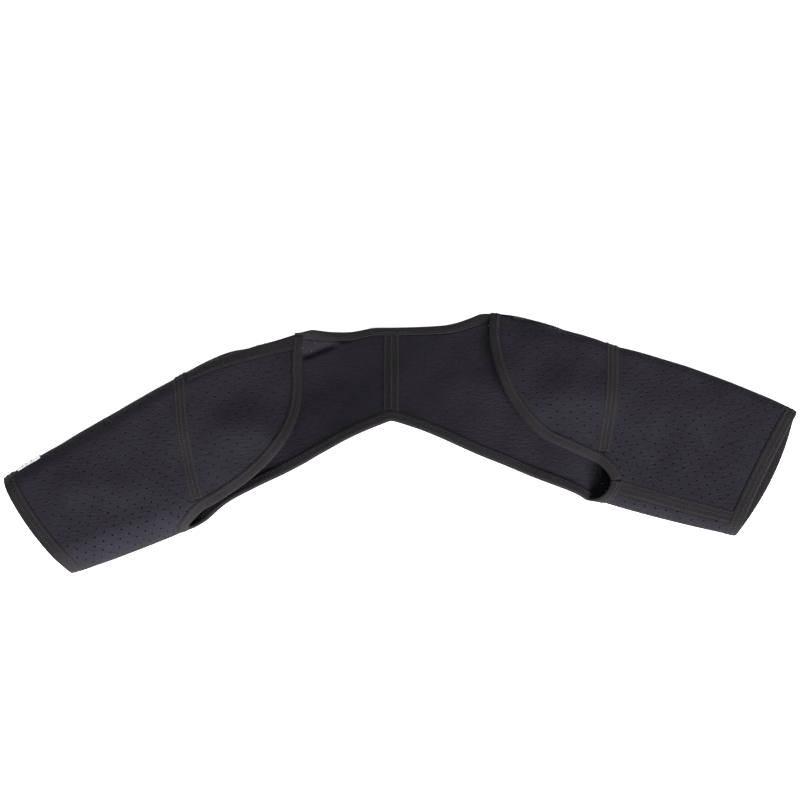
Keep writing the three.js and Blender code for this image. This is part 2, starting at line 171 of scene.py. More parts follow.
# the cloth's broad rises and hollows: x, y, height, and the widths along x and y, in mm
SWELLS = ((-168, 2, 8.5, 42, 24), (174, 42, 10.0, 42, 30), (-292, -58, 3, 45, 16),
          (300, 30, 3, 50, 22), (-352, -40, -2.2, 12, 40), (262, -20, -2.0, 14, 30),
          (80, 60, 3, 40, 22), (-75, 62, -3, 36, 26))
# the crease under the neck binding at the left shoulder: where it starts, its run along x, its
# climb along y over that run, its depth and its half width, in mm
CREASE_X, CREASE_Y, CREASE_RUN, CREASE_CLIMB, CREASE_DEPTH, CREASE_WIDTH = -112, 91, 45, 14, 4.5, 4.0


def settle(points):
    """Lays points into the garment's frame and shapes the cloth: short ripples, sums of sines of
    the place; broad swells, each a bell curve in x and y, that fade out towards the table; and
    the crease, a bell curve across a slightly wavy line."""
    p = points - ORIGIN
    x, y = p[..., 0], p[..., 1]
    swell = (0.45 * np.sin(x / 17 + 0.6 * np.sin(y / 23)) * np.cos(y / 15 + x / 61)
             + 0.30 * np.sin(x / 9.3 - y / 12.1 + 1.3) + 0.22 * np.sin(x / 6.1 + y / 7.7))
    for mx, my, high, wide, deep in SWELLS:
        swell = swell + high * np.exp(-((x - mx) / wide) ** 2 - ((y - my) / deep) ** 2)
    p = p.copy()
    p[..., 2] += swell * np.clip((p[..., 2] - 3) / 20, 0, 1)
    t = (x - CREASE_X) / CREASE_RUN
    bend = y - CREASE_Y - CREASE_CLIMB * t + 1.2 * np.sin(7 * t)
    p[..., 2] -= (CREASE_DEPTH * np.exp(-(bend / CREASE_WIDTH) ** 2) * ease(t * 5) * ease((1 - t) * 3)
                  * ease((p[..., 2] - 4) / 5))
    return p


def cloth(name, points, faces, uv, material, nodes):
    """Puts points (mm) and faces (a list of arrays of corners) into a smooth mesh in metres with
    a fabric map in mm, riding on the brace, in place of the named solids."""
    mesh = bpy.data.meshes.new(name)
    loops = np.concatenate([f.ravel() for f in faces]).astype(np.int32)
    sizes = np.concatenate([np.full(len(f), f.shape[1]) for f in faces])
    starts = np.concatenate([[0], np.cumsum(sizes)[:-1]]).astype(np.int32)
    mesh.vertices.add(len(points))
    mesh.vertices.foreach_set("co", (settle(points) / 1000).astype(np.float32).ravel())
    mesh.loops.add(len(loops))
    mesh.loops.foreach_set("vertex_index", loops)
    mesh.polygons.add(len(sizes))
    mesh.polygons.foreach_set("loop_start", starts)
    mesh.update(calc_edges=True)
    mesh.validate()
    mesh.shade_smooth()
    layer = mesh.uv_layers.new(name="fabric")
    corners = np.empty(len(mesh.loops), np.int32)
    mesh.loops.foreach_get("vertex_index", corners)
    layer.data.foreach_set("uv", uv[corners].astype(np.float32).ravel())
    mesh.materials.append(material)
    piece = bpy.data.objects.new(name, mesh)
    bpy.context.collection.objects.link(piece)
    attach(piece, "root")
    if nodes:
        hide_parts(*nodes)
    return piece


def finish(name, values):
    """A material whose shader's own sockets hold these values; gives it, its tree and shader."""
    material = bpy.data.materials.new(name)
    material.use_nodes = True
    shader = material.node_tree.nodes["Principled BSDF"]
    for key, value in values.items():
        shader.inputs[key].default_value = value
    return material, material.node_tree, shader


def node(tree, kind, settings=None, values=None, links=None):
    """Adds one shader node, sets its options and socket values, and links what feeds it."""
    made = tree.nodes.new("ShaderNode" + kind)
    for key, value in (settings or {}).items():
        setattr(made, key, value)
    for key, value in (values or {}).items():
        made.inputs[key].default_value = value
    for key, source in (links or {}).items():
        tree.links.new(source, made.inputs[key])
    return made


def maths(tree, operation, *values):
    """A maths node's result; each value is a number or another node's output."""
    made = node(tree, "Math", {"operation": operation})
    for socket, value in zip(made.inputs, values):
        if isinstance(value, float):
            socket.default_value = value
        else:
            tree.links.new(value, socket)
    return made.outputs[0]


def noise(tree, vector, scale, detail, roughness=0.5):
    """Soft noise, scale patches to the vector's unit."""
    values = {"Scale": scale, "Detail": detail, "Roughness": roughness}
    return node(tree, "TexNoise", {}, values, {"Vector": vector}).outputs["Fac"]


def wave(tree, vector, direction, scale, distortion=0.0, detail=2.0):
    """Bands across a direction, a sine of it whose length is a tenth of pi over the scale."""
    values = {"Scale": scale, "Distortion": distortion, "Detail": detail}
    return node(tree, "TexWave", {"bands_direction": direction}, values,
                {"Vector": vector}).outputs["Fac"]


def two_tones(tree, factor, dark, light, start=0.0):
    """A colour that runs from dark, where the factor is start, to light, where it is 1."""
    ramp = node(tree, "ValToRGB", {}, {}, {"Fac": factor})
    stops = ramp.color_ramp.elements
    stops[0].position = start
    stops[0].color, stops[1].color = (*dark, 1), (*light, 1)
    return ramp.outputs["Color"]


neoprene, tree, shader = finish("knit_faced_neoprene", {
    "Roughness": 0.86, "Specular IOR Level": 0.04, "Sheen Weight": 0.02, "Sheen Roughness": 0.45,
    "Sheen Tint": (0.62, 0.60, 0.72, 1)})
fabric = node(tree, "UVMap", {"uv_map": "fabric"}).outputs[0]
place = node(tree, "TexCoord").outputs["Object"]
# the knit's ribs, 1.3 mm apart, crossed by its rows of loops, 0.9 mm apart
knit = maths(tree, "MULTIPLY", wave(tree, fabric, "X", 0.245, 0.6, 1.0),
             wave(tree, fabric, "Y", 0.36, 0.8, 1.0))
grain = maths(tree, "MULTIPLY_ADD", noise(tree, place, 900.0, 3.0, 0.65), 0.5, knit)
# the laminated face puckers into short flat blisters, about 5 by 2.5 mm
stretch = node(tree, "VectorMath", {"operation": "MULTIPLY"}, {1: (210.0, 400.0, 300.0)},
               {0: place})
pucker = node(tree, "Bump", {}, {"Strength": 0.75, "Distance": 0.0011},
              {"Height": noise(tree, stretch.outputs[0], 1.0, 1.5)})
# and its dye is a little uneven over a few centimetres
haze = maths(tree, "MULTIPLY_ADD", noise(tree, place, 38.0, 4.0, 0.6), 0.35, 0.30)
dye = two_tones(tree, maths(tree, "MULTIPLY_ADD", grain, 0.45, haze),
                (0.0040, 0.0036, 0.0047), (0.0150, 0.0137, 0.0180), 0.30)
relief = node(tree, "Bump", {}, {"Strength": 0.55, "Distance": 0.00022},
              {"Height": grain, "Normal": pucker.outputs["Normal"]})
tree.links.new(dye, shader.inputs["Base Color"])
tree.links.new(relief.outputs["Normal"], shader.inputs["Normal"])

PITCH = 10.0  # mm between neighbouring holes
HOLE = 0.78  # mm, a hole's radius
LIP = 0.30  # mm of soft lip round a hole
MARGIN = 2.4  # mm along a seam that stay unpunched
STEP = 3.4  # mm between the net's grid points
RING = 10  # points round a hole


def wall(p, q):
    """Quads between two closed rings of the same count, point by point."""
    return np.stack([p, np.roll(p, -1, -1), np.roll(q, -1, -1), q], -1).reshape(-1, 4)


def perforated(name, surface, normal, turn, size, centres, nodes, hole=HOLE):
    """A punched panel: a Delaunay net over its flat domain, size mm, through a lattice of grid
    points and a ring of points round every hole, laid on the surface and offset half a wall both
    ways. Each hole has a lip as wide as LIP that dips by 0.8 of its width, then a straight wall
    to the other face; the lip's outer edge is sharp."""
    wide, high = size
    na, nb = int(np.ceil(wide / STEP)), int(np.ceil(high / STEP))
    line_a, line_b = np.linspace(0, 1, na + 1), np.linspace(0, 1, nb + 1)
    border = np.concatenate([
        np.stack([line_a[:-1], 0 * line_a[:-1]], 1),
        np.stack([0 * line_b[:-1] + 1, line_b[:-1]], 1),
        np.stack([line_a[:0:-1], 0 * line_a[:0:-1] + 1], 1),
        np.stack([0 * line_b[:0:-1], line_b[:0:-1]], 1)])
    # every hole's ring is round on the cloth: its two axes are made square to each other there
    da, db = slopes(surface, centres[:, 0], centres[:, 1])
    e1 = unit(da)
    e2 = unit(db - (db * e1).sum(-1, keepdims=True) * e1)
    turns = np.arange(RING) * 2 * np.pi / RING
    g = np.stack([(da * da).sum(-1), (da * db).sum(-1), (db * db).sum(-1)])
    det = g[0] * g[2] - g[1] ** 2

    def ring(radius):
        """Ring points in the domain: the offset vectors through the inverse of the metric."""
        v = radius * (np.cos(turns)[None, :, None] * e1[:, None]
                      + np.sin(turns)[None, :, None] * e2[:, None])
        pa, pb = (v * da[:, None]).sum(-1), (v * db[:, None]).sum(-1)
        a = (g[2][:, None] * pa - g[1][:, None] * pb) / det[:, None]
        b = (g[0][:, None] * pb - g[1][:, None] * pa) / det[:, None]
        return centres[:, None] + np.stack([a, b], -1)

    outer, inner = ring(hole + LIP), ring(hole)
    # grid points, every other row shifted by half a step, none within 1 mm of a lip
    ga, gb = np.meshgrid(line_a[1:-1], line_b[1:-1], indexing="ij")
    ga = ga + np.where(np.arange(gb.shape[1]) % 2, 0.25, -0.25)[None] / na
    fill = np.stack([ga.ravel(), gb.ravel()], 1)
    at_fill, at_hole = surface(fill[:, 0], fill[:, 1]), surface(centres[:, 0], centres[:, 1])
    gap = np.empty(len(fill))
    for k in range(0, len(fill), 2000):
        apart = at_fill[k:k + 2000, None] - at_hole[None]
        gap[k:k + 2000] = np.sqrt((apart ** 2).sum(-1)).min(1)
    fill = fill[gap > hole + LIP + 1.0]

    rim = outer.reshape(-1, 2)
    flat = np.concatenate([border, rim, fill])
    first, count = len(border), len(rim)
    loop = np.arange(first)
    ids = np.arange(count).reshape(-1, RING) + first
    edges = np.concatenate([np.stack([loop, np.roll(loop, -1)], 1),
                            np.stack([ids, np.roll(ids, -1, 1)], -1).reshape(-1, 2)])
    corners = [Vector(v) for v in (flat * (wide, high)).tolist()]
    net = delaunay_2d_cdt(corners, edges.tolist(), [], 0, 1e-5)
    triangles = np.array(net[2], np.int64)
    if len(net[0]) != len(flat):
        raise RuntimeError(name + ": the net gained or lost points")
    # a triangle whose three corners are on one ring lies in a hole, and goes
    owner = np.full(len(flat), -1)
    owner[first:first + count] = np.arange(count) // RING
    o = owner[triangles]
    triangles = triangles[~((o[:, 0] >= 0) & (o[:, 0] == o[:, 1]) & (o[:, 1] == o[:, 2]))]

    flat_all = np.concatenate([flat, inner.reshape(-1, 2)])
    n = len(flat_all)
    middle = surface(flat_all[:, 0], flat_all[:, 1])
    out = normal(flat_all[:, 0], flat_all[:, 1])
    half = np.full((n, 1), WALL / 2)
    half[len(flat):] -= LIP * 0.8
    points = np.concatenate([middle + out * half, middle - out * half])
    lips = np.arange(count).reshape(-1, RING) + len(flat)
    faces = [triangles, triangles[:, ::-1] + n, wall(lips, ids), wall(lips + n, lips),
             wall(ids + n, lips + n), wall(loop[None], loop[None] + n)[:, ::-1]]
    if turn < 0:
        faces = [f[:, ::-1] for f in faces]
    uv = np.tile(flat_all * (wide, high), (2, 1))
    piece = cloth(name, points, faces, uv, neoprene, nodes)
    # its flat size: the domain's two sizes, and the area that the surface has
    ga, gb = np.meshgrid((np.arange(60) + 0.5) / 60, (np.arange(60) + 0.5) / 60, indexing="ij")
    area = float(length(np.cross(*slopes(surface, ga, gb))).mean()) / 1e6
    # an edge between two points of one outer ring is marked sharp, so that the rims stay crisp
    owners = np.concatenate([owner, np.full(count, -1)])
    owners = np.concatenate([owners, owners])
    ends = np.empty(len(piece.data.edges) * 2, np.int32)
    piece.data.edges.foreach_get("vertices", ends)
    ends = owners[ends.reshape(-1, 2)]
    crisp = piece.data.attributes.new("sharp_edge", "BOOLEAN", "EDGE")
    crisp.data.foreach_set("value", (ends[:, 0] >= 0) & (ends[:, 0] == ends[:, 1]))


for label, side in HALVES.items():
    def along(a, b):
        """The panel's own place as the sleeve's: a from the binding to the end, b round it
        from the seam under the arm."""
        p = side["underarm"] + b
        long = sleeve_length(side, p)
        return mix((CUFF_WIDTH + SEAM_GAP) / long, tube_end(side, p) - SEAM_GAP / long, a), p

    def body(a, b):
        """The sleeve's surface over its own panel."""
        return sleeve(side, *along(a, b))

    def outward(a, b):
        """The outward direction there."""
        return sleeve_out(side, *along(a, b))

    # the lattice: a square one turned by 45 degrees, in the cloth's own flat measure, its first
    # row 3 mm from the rim; rounds are the lengths round the tube at cuff, half-way and armhole
    rows = [side["cuff"], side["middle"], side["armhole"]]
    far = [np.array(r["far"]) * REACH for r in rows]
    near = [np.array(r["near"]) * REACH for r in rows]
    rounds = [2 * (np.hypot(*(n - f)) - r["tall"] + np.pi * r["tall"] / 2)
              for n, f, r in zip(near, far, rows)]
    long = float(sleeve_length(side, np.array(side["underarm"] + 0.5)))
    i, j = np.meshgrid(np.arange(0, 40), np.arange(-30, 31), indexing="ij")
    keep = (i + j) % 2 == 0
    half_pitch = PITCH / np.sqrt(2)
    x, y = i[keep] * half_pitch + 3.0, j[keep] * half_pitch
    u = x / long
    w = [(1 - u) * (1 - 2 * u), 4 * u * (1 - u), u * (2 * u - 1)]
    b = 0.5 + y / sum(w[k] * rounds[k] for k in range(3))
    ok = (b > 0) & (b < 1)
    u, b = u[ok], b[ok]
    low, p = along(0 * b, b)
    high, p = along(0 * b + 1, b)
    a = (u - low) / (high - low)
    span = (high - low) * sleeve_length(side, p)
    ok = (a * span > MARGIN) & ((1 - a) * span > MARGIN)
    ok &= (b * rounds[1] > MARGIN) & ((1 - b) * rounds[1] > MARGIN)
    perforated("sleeve_skin_" + label, body, outward, side["turn"], (long, rounds[1]),
               np.stack([a[ok], b[ok]], 1), ["sleeve_" + label])

# Front and back panels
# The same neoprene, cut to shape: two front panels that curve from the shoulder down to the
# underarm, and a back panel in two halves that lies on the table and shows its inner face.
# Front and back panels are folded on each other along the shoulder seam.
FRONT_SIZE, BACK_SIZE = (105.0, 175.0), (225.0, 150.0)  # mm, as cut
BACK_HOLE = 0.56  # mm, a hole's radius on the back, whose inner face shows smaller holes
# the two steps from hole to hole, in mm on the plan
FRONT_LATTICE = {"left": ((8.8, -3.6), (-4.9, -8.2)), "right": ((6.8, -6.6), (-7.2, -6.5))}
BACK_LATTICE = {"left": ((8.3, -2.2), (-4.3, -7.9)), "right": ((-7.6, -4.7), (6.4, -6.5))}
SAG_TO, SAG_RUN = 6, 0.17  # mm above the table that the back sags to, and the share of its depth
FOLD_FROM, FOLD_RUN = 0.35, 0.75  # where along the shoulder seam it is no longer turned up
# Places are two shares of REACH and a height in mm. Shoulder is a share of the way round the
# sleeve, neck_share the share of the back's top edge that is shoulder seam, rise a lift in mm.
LEFT.update(
    shoulder=0.05, rise=2.0, neck_share=0.53, neck_point=(-0.268, 0.155, 17),
    front_edge=[(-0.270, 0.079, 26), (-0.267, 0.004, 34), (-0.276, -0.070, 41.1),
                (-0.307, -0.140, 48.3), (-0.362, -0.200, 49.5), (-0.428, -0.248, 45.5)],
    hem_edge=[(-0.434, -0.256, 15), (-0.351, -0.217, 27), (-0.271, -0.180, 34.5),
              (-0.192, -0.137, 39.4), (-0.112, -0.096, 43)],
    neck_edge=[(-0.199, 0.152, 9), (-0.155, 0.152, 7), (-0.112, 0.156, 6), (-0.069, 0.166, 6)])
RIGHT.update(
    shoulder=-0.03, rise=9.0, neck_share=0.53, neck_point=(0.252, 0.210, 16),
    front_edge=[(0.248, 0.148, 24.5), (0.257, 0.081, 31.5), (0.277, 0.015, 34.3),
                (0.312, -0.046, 36.2), (0.360, -0.097, 34.9), (0.423, -0.127, 31.9)],
    hem_edge=[(0.435, -0.228, 15), (0.343, -0.197, 24), (0.256, -0.163, 32),
              (0.166, -0.129, 38), (0.077, -0.092, 43)],
    neck_edge=[(0.183, 0.188, 8), (0.133, 0.174, 6.5), (0.082, 0.170, 6), (0.030, 0.168, 6)])
CENTRE_TOP, CENTRE_BOTTOM = (-0.022, 0.167, 6), (-0.022, -0.059, 45)


def plan(place):
    """A table's place in mm: two shares of REACH and a height."""
    return np.array([place[0] * REACH, place[1] * REACH, place[2]], float)


def curve(points, t):
    """The uniform Catmull-Rom curve through points, its ends carried on in a straight line."""
    p = np.array(points, float)
    p = np.vstack([2 * p[:1] - p[1:2], p, 2 * p[-1:] - p[-2:-1]])
    n = len(p) - 3
    t = np.asarray(t, float) * n
    k = np.clip(np.floor(t).astype(int), 0, n - 1)
    f = (t - k)[..., None]
    a, b, c, d = p[k], p[k + 1], p[k + 2], p[k + 3]
    return 0.5 * (2 * b + (c - a) * f + (2 * a - 5 * b + 4 * c - d) * f ** 2
                  + (3 * b - a - 3 * c + d) * f ** 3)


def front_edge(side, q):
    """The front panel's free edge: a curve from the neck point through its table of places to
    a point just past the lower end of the armhole seam."""
    end = 2 * sleeve(side, 1.0, side["front"]) - sleeve(side, 0.985, side["front"])
    return curve([plan(side["neck_point"])] + [plan(v) for v in side["front_edge"]] + [end], q)


def front(side, r, q):
    """The front panel: cubic Hermite lines from the armhole seam, which they leave along the
    sleeve, to the free edge; the top is lifted back by the panel's rise."""
    r, q = np.broadcast_arrays(np.asarray(r, float), np.asarray(q, float))
    p = mix(side["shoulder"], side["front"], q)
    start, end = sleeve(side, 1.0, p), front_edge(side, q)
    chord = end - start
    out = unit(start - sleeve(side, 0.97, p)) * np.linalg.norm(chord, axis=-1, keepdims=True)
    t = r[..., None]
    place = (start * (2 * t ** 3 - 3 * t ** 2 + 1) + out * (t ** 3 - 2 * t ** 2 + t)
             + end * (3 * t ** 2 - 2 * t ** 3) + chord * (t ** 3 - t ** 2))
    place[..., 1] += side["rise"] * 4 * (r - r * r) * (1 - q) ** 3
    return place


def back(side, r, q):
    """The back panel: straight lines from its top edge to its hem that sag from the shoulder
    down to the table, turned up into the sleeve's armhole near the seam."""
    r, q = np.broadcast_arrays(np.asarray(r, float), np.asarray(q, float))
    share = side["neck_share"]

    def flat(r, q):
        """The panel before it is turned up."""
        neck = curve([plan(side["neck_point"])] + [plan(v) for v in side["neck_edge"]]
                     + [plan(CENTRE_TOP)], np.clip((r - share) / (1 - share), 0, 1.01))
        shoulder = front(side, np.minimum(r / share, 1), 0 * r)
        top = np.where((r <= share)[..., None], shoulder, neck)
        hem = curve([sleeve(side, 1.0, side["hem"])] + [plan(v) for v in side["hem_edge"]]
                    + [plan(CENTRE_BOTTOM)], r)
        place = mix(top, hem, q[..., None])
        drop = np.maximum(0, top[..., 2] - SAG_TO)
        place[..., 2] -= drop * (1 - q - np.maximum(0, 1 - q / SAG_RUN) ** 2)
        return place

    fold = 1 - ease((r / share - FOLD_FROM) / FOLD_RUN)
    wrap = sleeve(side, 1.0, mix(side["shoulder"], side["hem"] - 1, q)) - flat(0 * r, q)
    return flat(r, q) + fold[..., None] * wrap


def back_out(side, r, q):
    """The back panel's outward direction at r, q, which faces the table."""
    return facing(lambda a, b: back(side, a, b), -side["turn"])(r, q)


def lattice(surface, steps):
    """Places of a plan lattice on a surface: from the nearest of a coarse set of samples, by
    Newton's steps on the plan, each at most a tenth of the panel; those that miss by 0.2 mm or
    lie nearer than MARGIN to the panel's edge are left out."""
    ga, gb = np.meshgrid(np.linspace(0, 1, 41), np.linspace(0, 1, 41), indexing="ij")
    samples = surface(ga, gb)[..., :2].reshape(-1, 2)
    (ax, ay), (bx, by) = steps
    i, j = np.meshgrid(np.arange(-60, 61), np.arange(-60, 61), indexing="ij")
    middle = samples.mean(0)
    aims = np.stack([middle[0] + i * ax + j * bx, middle[1] + i * ay + j * by], -1).reshape(-1, 2)
    low, high = samples.min(0), samples.max(0)
    aims = aims[((aims > low) & (aims < high)).all(1)]
    nearest = ((aims[:, None] - samples[None]) ** 2).sum(-1).argmin(1)
    a, b = ga.ravel()[nearest].copy(), gb.ravel()[nearest].copy()
    for _ in range(8):
        miss = aims - surface(a, b)[:, :2]
        da, db = slopes(surface, a, b)
        det = da[:, 0] * db[:, 1] - da[:, 1] * db[:, 0]
        det = np.where(np.abs(det) < 1.0, 1.0, det)
        step_a = np.clip((miss[:, 0] * db[:, 1] - miss[:, 1] * db[:, 0]) / det, -0.1, 0.1)
        step_b = np.clip((miss[:, 1] * da[:, 0] - miss[:, 0] * da[:, 1]) / det, -0.1, 0.1)
        a, b = np.clip(a + step_a, -0.02, 1.02), np.clip(b + step_b, -0.02, 1.02)
    ok = length(aims - surface(a, b)[:, :2]) < 0.2
    for share, slope in zip((a, b), slopes(surface, np.clip(a, 0, 1), np.clip(b, 0, 1))):
        long = length(slope)
        ok &= (share * long > MARGIN) & ((1 - share) * long > MARGIN)
    return np.stack([a[ok], b[ok]], 1)


for label, side in HALVES.items():
    def face(r, q):
        """The front panel inside its armhole seam and its shoulder seam."""
        return front(side, mix(0.004, 1.0, r), mix(0.003, 1.0, q))

    def rear(r, q):
        """The back panel inside its seams."""
        return back(side, mix(0.002, 0.9993, r), mix(0.003, 1.0, q))

    def folded(own, other, turn):
        """The outward direction, leaned near the shoulder seam to the middle of the two panels'."""
        share, is_front = side["neck_share"], own is face

        def direction(a, b):
            """The own direction mixed with the leaned one, over 7 % of the panel's depth."""
            n, top = facing(own, turn)(a, b), 0 * b + 0.001
            over = a * share if is_front else np.clip(a / share, 0, 1)
            lean = unit(facing(other, -turn)(over, top) + facing(own, turn)(a, top))
            w = (1 - ease(b / 0.07)) * (1 if is_front else 1 - ease((a - share) / 0.03))
            return unit(mix(n, lean, w[..., None]))
        return direction

    perforated("front_skin_" + label, face, folded(face, rear, side["turn"]), side["turn"],
               FRONT_SIZE, lattice(face, FRONT_LATTICE[label]), ["front_panel_" + label])
    perforated("back_skin_" + label, rear, folded(rear, face, -side["turn"]), -side["turn"],
               BACK_SIZE, lattice(rear, BACK_LATTICE[label]), ["back_panel_" + label], BACK_HOLE)

# Seam tapes
# Flat stretch tape, about 14 mm wide, sewn over every seam with rows of cover stitch: round both
# armholes, along the shoulders, under the arms, and inside down the centre of the back.
# It is finely ribbed along its length and a little browner than the neoprene.
TAPE_WIDTH = 14.5
CENTRE_WIDTH = 17.5
# depths of the shoulder tapes as shares of the panels': wider on the face that shows
SHOULDER_DEPTH = {"left": (0.08, 0.026), "right": (0.026, 0.078)}
ACROSS = 17  # points across a tape
THICK, EDGE_SUNK, FOOT_SUNK = 0.9, 0.1, 0.25  # mm of tape, and how deep its edges and foot lie
GROOVE, GROOVE_HALF = 0.28, 0.55  # mm, depth and half width of the dent under a row of stitches
SEWN = 0.05  # mm from the tape up to the line of its stitches
TIP = 0.985  # where an armhole tape ends, as a share of the panel's depth
tape, tree, shader = finish("ribbed_stretch_tape", {
    "Roughness": 0.72, "Specular IOR Level": 0.05, "Sheen Weight": 0.01, "Sheen Roughness": 0.4,
    "Sheen Tint": (0.75, 0.70, 0.64, 1)})
fabric = node(tree, "UVMap", {"uv_map": "fabric"}).outputs[0]
place = node(tree, "TexCoord").outputs["Object"]
# ribs 1.2 mm apart, crossed more faintly by the picks
weave = maths(tree, "MULTIPLY_ADD", wave(tree, fabric, "X", 0.40, 0.5, 1.0), 0.35,
              wave(tree, fabric, "Y", 0.27, 0.15))
dye = two_tones(tree, maths(tree, "MULTIPLY_ADD", weave, 0.55, noise(tree, place, 420.0, 4.0, 0.6)),
                (0.0034, 0.0031, 0.0035), (0.0120, 0.0109, 0.0124), 0.35)
relief = node(tree, "Bump", {}, {"Strength": 0.6, "Distance": 0.0003}, {"Height": weave})
tree.links.new(dye, shader.inputs["Base Color"])
tree.links.new(relief.outputs["Normal"], shader.inputs["Normal"])

thread, tree, shader = finish("twisted_sewing_thread", {"Roughness": 0.5, "Specular IOR Level": 0.10})
fabric = node(tree, "UVMap", {"uv_map": "fabric"}).outputs[0]
dye = two_tones(tree, wave(tree, fabric, "DIAGONAL", 1.1), (0.0090, 0.0082, 0.0086),
                (0.0270, 0.0250, 0.0265))
tree.links.new(dye, shader.inputs["Base Color"])


def travel(points):
    """The distance along a path at each of its points, in mm."""
    return np.concatenate([[0], np.cumsum(length(np.diff(points, axis=0)))])


def read(s, run, v):
    """The coordinates of v, known at the distances run, taken in straight lines at s."""
    return np.stack([np.interp(s, run, v[:, k]) for k in range(3)], -1)


def slab(n, m):
    """Faces of a thin closed sheet with n by m points a side: its top, its underside turned
    round, and a rim of quads between the two borders."""
    ids = np.arange(n * m).reshape(n, m)
    flat = np.stack([ids[:-1, :-1], ids[1:, :-1], ids[1:, 1:], ids[:-1, 1:]], -1).reshape(-1, 4)
    loop = np.concatenate([ids[0, :-1], ids[:-1, -1], ids[-1, :0:-1], ids[:0:-1, 0]])
    rim = np.stack([loop, loop + n * m, np.roll(loop, -1) + n * m, np.roll(loop, -1)], -1)
    return [flat, flat[:, ::-1] + n * m, rim]


def strip(name, points, guide, rows, nodes):
    """A tape over a grid of points, long by across: its top stands 0.8 mm above the neoprene,
    rounded off at both edges by an eighth power, with a shallow groove, a bell curve, under each
    stitch row; its underside is sunk a little into the cloth. Its outward direction is the cross
    product of the grid's differences, on the guide's side. Gives the lines of its stitch rows."""
    n, m = points.shape[:2]
    out = unit(np.cross(np.gradient(points, axis=0), np.gradient(points, axis=1)))
    out = out * np.sign((out * guide).sum(-1, keepdims=True) + 1e-9)
    wide = length(np.diff(points, axis=1)).sum(1).mean()
    across = np.linspace(-1, 1, m)
    top = WALL / 2 - EDGE_SUNK + THICK * (1 - np.abs(across) ** 8)
    for row in rows:
        top = top - GROOVE * np.exp(-((across - row) * wide / 2 / GROOVE_HALF) ** 2)
    high = points + out * top[None, :, None]
    low = points + out * (WALL / 2 - FOOT_SUNK)
    run = travel(points[:, m // 2])
    uv = np.stack(np.broadcast_arrays(run[:, None], across[None] * wide / 2), -1).reshape(-1, 2)
    faces = slab(n, m)
    a, b, c = high[0, 0], high[1, 0], high[0, 1]
    if np.dot(np.cross(b - a, c - a), out[0, 0]) < 0:
        faces = [f[:, ::-1] for f in faces]
    cloth(name, np.concatenate([high.reshape(-1, 3), low.reshape(-1, 3)]), faces,
          np.tile(uv, (2, 1)), tape, nodes)
    columns = [int(round((row + 1) / 2 * (m - 1))) for row in rows]
    return [(points[:, k] + out[:, k] * (top[k] + SEWN), out[:, k]) for k in columns]


def stitched(name, lines, pitch=3.1, long=2.5, thick=0.33, wide=0.0, cotton=thread):
    """Rows of stitches: every pitch mm along a line a thread of three hexagons and two end
    points, its middle raised above the tape and its ends drawn into it; with a width the threads
    lie slantwise across the line, as the covering threads of a flat seam do."""
    all_points, all_uv, count = [], [], 0
    turns = np.arange(6) * np.pi / 3
    size = np.array([0.55, 1.0, 0.55]) * thick
    lift = np.array([-0.30, 0.02, 0.26, 0.02, -0.30]) * thick / 0.33
    for points, out in lines:
        run = travel(points)
        starts = np.arange(0.6, run[-1] - long - 0.3, pitch)
        s = starts[:, None] + np.array([0, 0.12, 0.5, 0.88, 1.0])[None] * long
        at, up = read(s, run, points), unit(read(s, run, out))
        ahead = unit(at[:, -1:] - at[:, :1])
        sideways = unit(np.cross(up, ahead))
        if wide:
            reach = np.array([-0.5, -0.38, 0, 0.38, 0.5])[None, :, None] * wide
            at = at[:, 2:3] + sideways * reach + ahead * reach * 0.3
            sideways = ahead + 0 * sideways
        at = at + up * lift[None, :, None]
        ring = at[:, 1:4, None] + size[None, :, None, None] * (
            np.cos(turns)[None, None, :, None] * sideways[:, 1:4, None]
            + np.sin(turns)[None, None, :, None] * up[:, 1:4, None])
        all_points.append(np.concatenate([ring.reshape(len(s), 18, 3), at[:, :1], at[:, -1:]], 1))
        uv = np.stack([np.repeat(s[:, 1:4], 6, 1), np.tile(turns, (len(s), 3))], -1)
        all_uv.append(np.concatenate([uv, np.zeros((len(s), 2, 2))], 1))
        count += len(s)
    k = np.arange(6)
    n = np.roll(k, -1)
    quads = np.concatenate([np.stack([k + o, n + o, n + o + 6, k + o + 6], -1) for o in (0, 6)])
    ends = np.concatenate([np.stack([0 * k + 18, n, k], -1),
                           np.stack([0 * k + 19, k + 12, n + 12], -1)])
    base = (np.arange(count) * 20)[:, None, None]
    faces = [(quads[None, :, ::-1] + base).reshape(-1, 4), (ends[None, :, ::-1] + base).reshape(-1, 3)]
    cloth(name, np.concatenate(all_points).reshape(-1, 3), faces,
          np.concatenate(all_uv).reshape(-1, 2), cotton, [])


